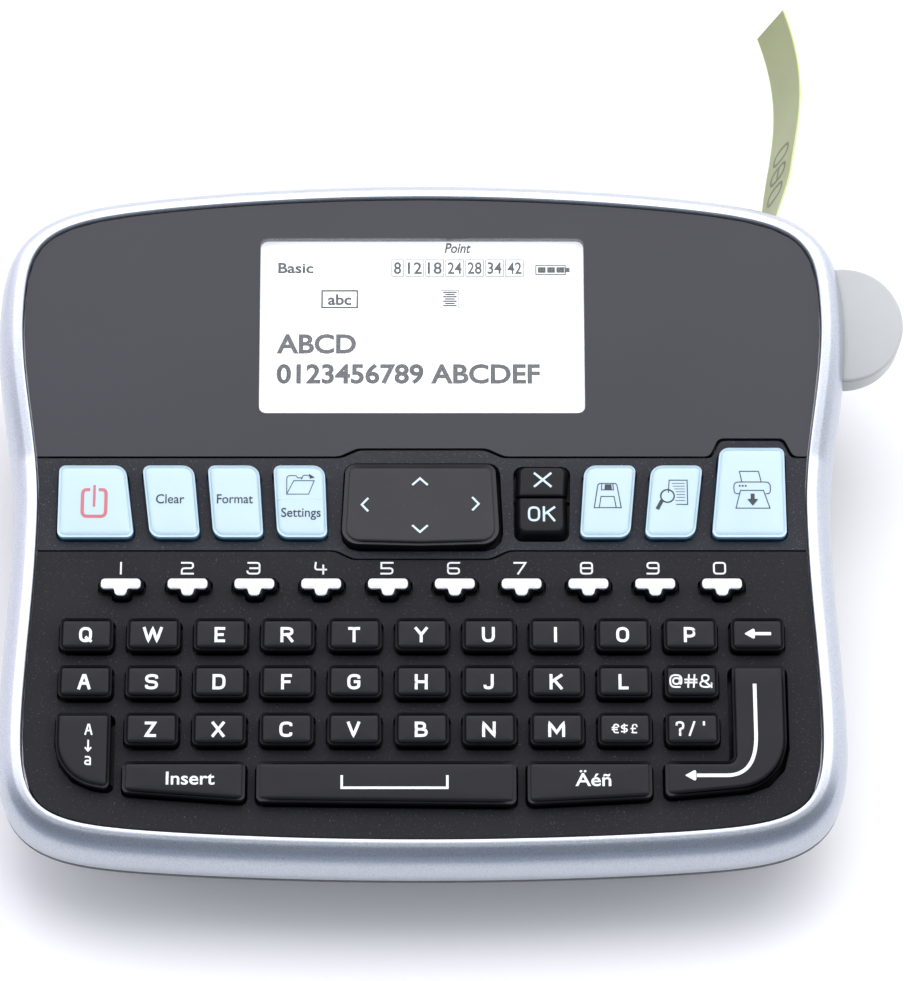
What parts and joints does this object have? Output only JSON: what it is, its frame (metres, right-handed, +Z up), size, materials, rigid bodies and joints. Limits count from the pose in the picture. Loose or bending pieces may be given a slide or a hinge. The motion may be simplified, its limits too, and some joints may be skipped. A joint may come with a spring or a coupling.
{
  "type": "label maker",
  "caption": "Desktop label maker with a wedge-shaped body, letter keys, display window, round cutter button and a printed strip leaving the rear.",
  "frame": {"origin": "centre of the middle rubber foot's lower face, on the table", "axes": "+X to the right seen from the keys, +Y to the rear, +Z up"},
  "size_m": [0.1848, 0.2074, 0.0527],
  "materials": {
    "silver_shell": "smooth metallic silver paint",
    "base_shell": "fine-textured",
    "dark_gloss_panel": "smooth, slightly glossy",
    "dark_panel": "fine-textured, matte",
    "window": "clear",
    "display": "pale, smooth",
    "foot_rubber": "matte",
    "screw_steel": "plated",
    "black_plastic": "moulded",
    "mat_rubber": "moulded",
    "circuit_board": "coated",
    "flat_cable": "film",
    "battery": "sleeved",
    "contact_brass": "plated",
    "frame_steel": "pressed sheet",
    "head": "glazed",
    "motor_steel": "plated",
    "cassette_plastic": "moulded",
    "label_tape": "laminated",
    "button_plastic": "smooth",
    "blade_steel": "ground",
    "spring_steel": "drawn wire",
    "platen_rubber": "matte",
    "gear_plastic": "moulded",
    "pinion_brass": "cut",
    "blue_keys": "satin",
    "digit_keys": "satin",
    "black_keys": "satin"
  },
  "bodies": {
    "housing": {"bottom_housing": "base_shell", "top_housing": "silver_shell", "display_panel": "dark_gloss_panel", "function_strip": "dark_panel", "keyboard_panel": "dark_panel", "display_lens": "window", "lcd_module": "display", "rubber_feet": "foot_rubber", "housing_screws": "screw_steel", "charging_jack": "black_plastic", "keypad_mat": "mat_rubber", "main_board": "circuit_board", "display_cable": "flat_cable", "battery_pack": "battery", "battery_contacts": "contact_brass", "printer_frame": "frame_steel", "print_head": "head", "drive_motor": "motor_steel", "cassette_case": "cassette_plastic", "label_strip": "label_tape", "cutter_spring": "spring_steel"},
    "battery_cover": {"battery_cover": "base_shell"},
    "cassette_door": {"cassette_door": "base_shell"},
    "cutter": {"cutter_button": "button_plastic", "cutter_blade": "blade_steel"},
    "platen": {"platen_roller": "platen_rubber", "platen_gear": "gear_plastic"},
    "idler": {"idler_gear": "gear_plastic"},
    "pinion": {"motor_pinion": "pinion_brass"},
    "ribbon_drive": {"ribbon_spindle": "gear_plastic"},
    "tape_roll": {"tape_spool": "label_tape"},
    "power_key": {"power_key": "blue_keys"},
    "clear_key": {"clear_key": "blue_keys"},
    "format_key": {"format_key": "blue_keys"},
    "settings_key": {"settings_key": "blue_keys"},
    "save_key": {"save_key": "blue_keys"},
    "preview_key": {"preview_key": "blue_keys"},
    "print_key": {"print_key": "blue_keys"},
    "digit_1_key": {"digit_1_key": "digit_keys"},
    "digit_2_key": {"digit_2_key": "digit_keys"},
    "digit_3_key": {"digit_3_key": "digit_keys"},
    "digit_4_key": {"digit_4_key": "digit_keys"},
    "digit_5_key": {"digit_5_key": "digit_keys"},
    "digit_6_key": {"digit_6_key": "digit_keys"},
    "digit_7_key": {"digit_7_key": "digit_keys"},
    "digit_8_key": {"digit_8_key": "digit_keys"},
    "digit_9_key": {"digit_9_key": "digit_keys"},
    "digit_0_key": {"digit_0_key": "digit_keys"},
    "cancel_key": {"cancel_key": "black_keys"},
    "ok_key": {"ok_key": "black_keys"},
    "top_letter_row": {"top_letter_row": "black_keys"},
    "home_letter_row": {"home_letter_row": "black_keys"},
    "bottom_letter_row": {"bottom_letter_row": "black_keys"},
    "capitals_key": {"capitals_key": "black_keys"},
    "insert_key": {"insert_key": "black_keys"},
    "space_key": {"space_key": "black_keys"},
    "accent_key": {"accent_key": "black_keys"},
    "enter_key": {"enter_key": "black_keys"},
    "backspace_key": {"backspace_key": "black_keys"},
    "nav_pad": {"nav_pad": "black_keys"}
  },
  "joints": [
    {"name": "nav_pad_tip", "type": "hinge", "parent": "housing", "child": "nav_pad", "pos_m": [0, 0.00349, 0.03337], "axis": [1, 0, 0], "range_deg": [-2.5, 2.5], "stiffness_Nm_per_rad": 0.2},
    {"name": "cutter_press", "type": "slide", "parent": "housing", "child": "cutter", "axis": [-1, 0, 0], "range_m": [0, 0.006], "stiffness_N_per_m": 400, "springref_m": -0.002, "deforming": ["cutter_spring"]},
    {"name": "battery_cover_slide", "type": "slide", "parent": "housing", "child": "battery_cover", "axis": [-1, 0, 0], "range_m": [0, 0.025]},
    {"name": "cassette_door_hinge", "type": "hinge", "parent": "housing", "child": "cassette_door", "pos_m": [0.017, 0.02385, 0.0026], "axis": [-1, 0, 0], "range_deg": [0, 95]},
    {"name": "platen_spin", "type": "hinge", "parent": "housing", "child": "platen", "pos_m": [0.0696, 0.04, 0.0295], "axis": [0, 0, 1], "continuous": true},
    {"name": "idler_spin", "type": "hinge", "parent": "housing", "child": "idler", "pos_m": [0.05691, 0.02723, 0.0295], "axis": [0, 0, 1], "continuous": true},
    {"name": "pinion_spin", "type": "hinge", "parent": "housing", "child": "pinion", "pos_m": [0.053, 0.014, 0.0295], "axis": [0, 0, 1], "continuous": true},
    {"name": "ribbon_spin", "type": "hinge", "parent": "housing", "child": "ribbon_drive", "pos_m": [0.04509, 0.03647, 0.0295], "axis": [0, 0, 1], "continuous": true},
    {"name": "tape_roll_spin", "type": "hinge", "parent": "housing", "child": "tape_roll", "pos_m": [-0.004, 0.0375, 0.0295], "axis": [0, 0, 1], "continuous": true},
    {"name": "power_key_press", "type": "slide", "parent": "housing", "child": "power_key", "axis": [0, 0.1564, -0.9877], "range_m": [0, 0.001], "stiffness_N_per_m": 300, "springref_m": -0.001},
    {"name": "clear_key_press", "type": "slide", "parent": "housing", "child": "clear_key", "axis": [0, 0.1564, -0.9877], "range_m": [0, 0.001], "stiffness_N_per_m": 300, "springref_m": -0.001},
    {"name": "format_key_press", "type": "slide", "parent": "housing", "child": "format_key", "axis": [0, 0.1564, -0.9877], "range_m": [0, 0.001], "stiffness_N_per_m": 300, "springref_m": -0.001},
    {"name": "settings_key_press", "type": "slide", "parent": "housing", "child": "settings_key", "axis": [0, 0.1564, -0.9877], "range_m": [0, 0.001], "stiffness_N_per_m": 300, "springref_m": -0.001},
    {"name": "save_key_press", "type": "slide", "parent": "housing", "child": "save_key", "axis": [0, 0.1564, -0.9877], "range_m": [0, 0.001], "stiffness_N_per_m": 300, "springref_m": -0.001},
    {"name": "preview_key_press", "type": "slide", "parent": "housing", "child": "preview_key", "axis": [0, 0.1564, -0.9877], "range_m": [0, 0.001], "stiffness_N_per_m": 300, "springref_m": -0.001},
    {"name": "print_key_press", "type": "slide", "parent": "housing", "child": "print_key", "axis": [0, 0.1564, -0.9877], "range_m": [0, 0.001], "stiffness_N_per_m": 300, "springref_m": -0.001},
    {"name": "cancel_key_press", "type": "slide", "parent": "housing", "child": "cancel_key", "axis": [0, 0.1564, -0.9877], "range_m": [0, 0.001], "stiffness_N_per_m": 300, "springref_m": -0.001},
    {"name": "ok_key_press", "type": "slide", "parent": "housing", "child": "ok_key", "axis": [0, 0.1564, -0.9877], "range_m": [0, 0.001], "stiffness_N_per_m": 300, "springref_m": -0.001},
    {"name": "top_letter_row_press", "type": "slide", "parent": "housing", "child": "top_letter_row", "axis": [0, 0.1564, -0.9877], "range_m": [0, 0.001], "stiffness_N_per_m": 300, "springref_m": -0.001},
    {"name": "home_letter_row_press", "type": "slide", "parent": "housing", "child": "home_letter_row", "axis": [0, 0.1564, -0.9877], "range_m": [0, 0.001], "stiffness_N_per_m": 300, "springref_m": -0.001},
    {"name": "bottom_letter_row_press", "type": "slide", "parent": "housing", "child": "bottom_letter_row", "axis": [0, 0.1564, -0.9877], "range_m": [0, 0.001], "stiffness_N_per_m": 300, "springref_m": -0.001},
    {"name": "capitals_key_press", "type": "slide", "parent": "housing", "child": "capitals_key", "axis": [0, 0.1564, -0.9877], "range_m": [0, 0.001], "stiffness_N_per_m": 300, "springref_m": -0.001},
    {"name": "insert_key_press", "type": "slide", "parent": "housing", "child": "insert_key", "axis": [0, 0.1564, -0.9877], "range_m": [0, 0.001], "stiffness_N_per_m": 300, "springref_m": -0.001},
    {"name": "space_key_press", "type": "slide", "parent": "housing", "child": "space_key", "axis": [0, 0.1564, -0.9877], "range_m": [0, 0.001], "stiffness_N_per_m": 300, "springref_m": -0.001},
    {"name": "accent_key_press", "type": "slide", "parent": "housing", "child": "accent_key", "axis": [0, 0.1564, -0.9877], "range_m": [0, 0.001], "stiffness_N_per_m": 300, "springref_m": -0.001},
    {"name": "enter_key_press", "type": "slide", "parent": "housing", "child": "enter_key", "axis": [0, 0.1564, -0.9877], "range_m": [0, 0.001], "stiffness_N_per_m": 300, "springref_m": -0.001},
    {"name": "backspace_key_press", "type": "slide", "parent": "housing", "child": "backspace_key", "axis": [0, 0.1564, -0.9877], "range_m": [0, 0.001], "stiffness_N_per_m": 300, "springref_m": -0.001},
    {"name": "digit_1_key_press", "type": "slide", "parent": "housing", "child": "digit_1_key", "axis": [0, 0.1564, -0.9877], "range_m": [0, 0.001], "stiffness_N_per_m": 300, "springref_m": -0.001},
    {"name": "digit_2_key_press", "type": "slide", "parent": "housing", "child": "digit_2_key", "axis": [0, 0.1564, -0.9877], "range_m": [0, 0.001], "stiffness_N_per_m": 300, "springref_m": -0.001},
    {"name": "digit_3_key_press", "type": "slide", "parent": "housing", "child": "digit_3_key", "axis": [0, 0.1564, -0.9877], "range_m": [0, 0.001], "stiffness_N_per_m": 300, "springref_m": -0.001},
    {"name": "digit_4_key_press", "type": "slide", "parent": "housing", "child": "digit_4_key", "axis": [0, 0.1564, -0.9877], "range_m": [0, 0.001], "stiffness_N_per_m": 300, "springref_m": -0.001},
    {"name": "digit_5_key_press", "type": "slide", "parent": "housing", "child": "digit_5_key", "axis": [0, 0.1564, -0.9877], "range_m": [0, 0.001], "stiffness_N_per_m": 300, "springref_m": -0.001},
    {"name": "digit_6_key_press", "type": "slide", "parent": "housing", "child": "digit_6_key", "axis": [0, 0.1564, -0.9877], "range_m": [0, 0.001], "stiffness_N_per_m": 300, "springref_m": -0.001},
    {"name": "digit_7_key_press", "type": "slide", "parent": "housing", "child": "digit_7_key", "axis": [0, 0.1564, -0.9877], "range_m": [0, 0.001], "stiffness_N_per_m": 300, "springref_m": -0.001},
    {"name": "digit_8_key_press", "type": "slide", "parent": "housing", "child": "digit_8_key", "axis": [0, 0.1564, -0.9877], "range_m": [0, 0.001], "stiffness_N_per_m": 300, "springref_m": -0.001},
    {"name": "digit_9_key_press", "type": "slide", "parent": "housing", "child": "digit_9_key", "axis": [0, 0.1564, -0.9877], "range_m": [0, 0.001], "stiffness_N_per_m": 300, "springref_m": -0.001},
    {"name": "digit_0_key_press", "type": "slide", "parent": "housing", "child": "digit_0_key", "axis": [0, 0.1564, -0.9877], "range_m": [0, 0.001], "stiffness_N_per_m": 300, "springref_m": -0.001}
  ],
  "couplings": [
    {"joint": "platen_spin", "follows": "tape_roll_spin", "ratio": 2.8889},
    {"joint": "idler_spin", "follows": "tape_roll_spin", "ratio": -2.2092},
    {"joint": "pinion_spin", "follows": "tape_roll_spin", "ratio": 6.2593},
    {"joint": "ribbon_spin", "follows": "tape_roll_spin", "ratio": 4.6944}
  ]
}
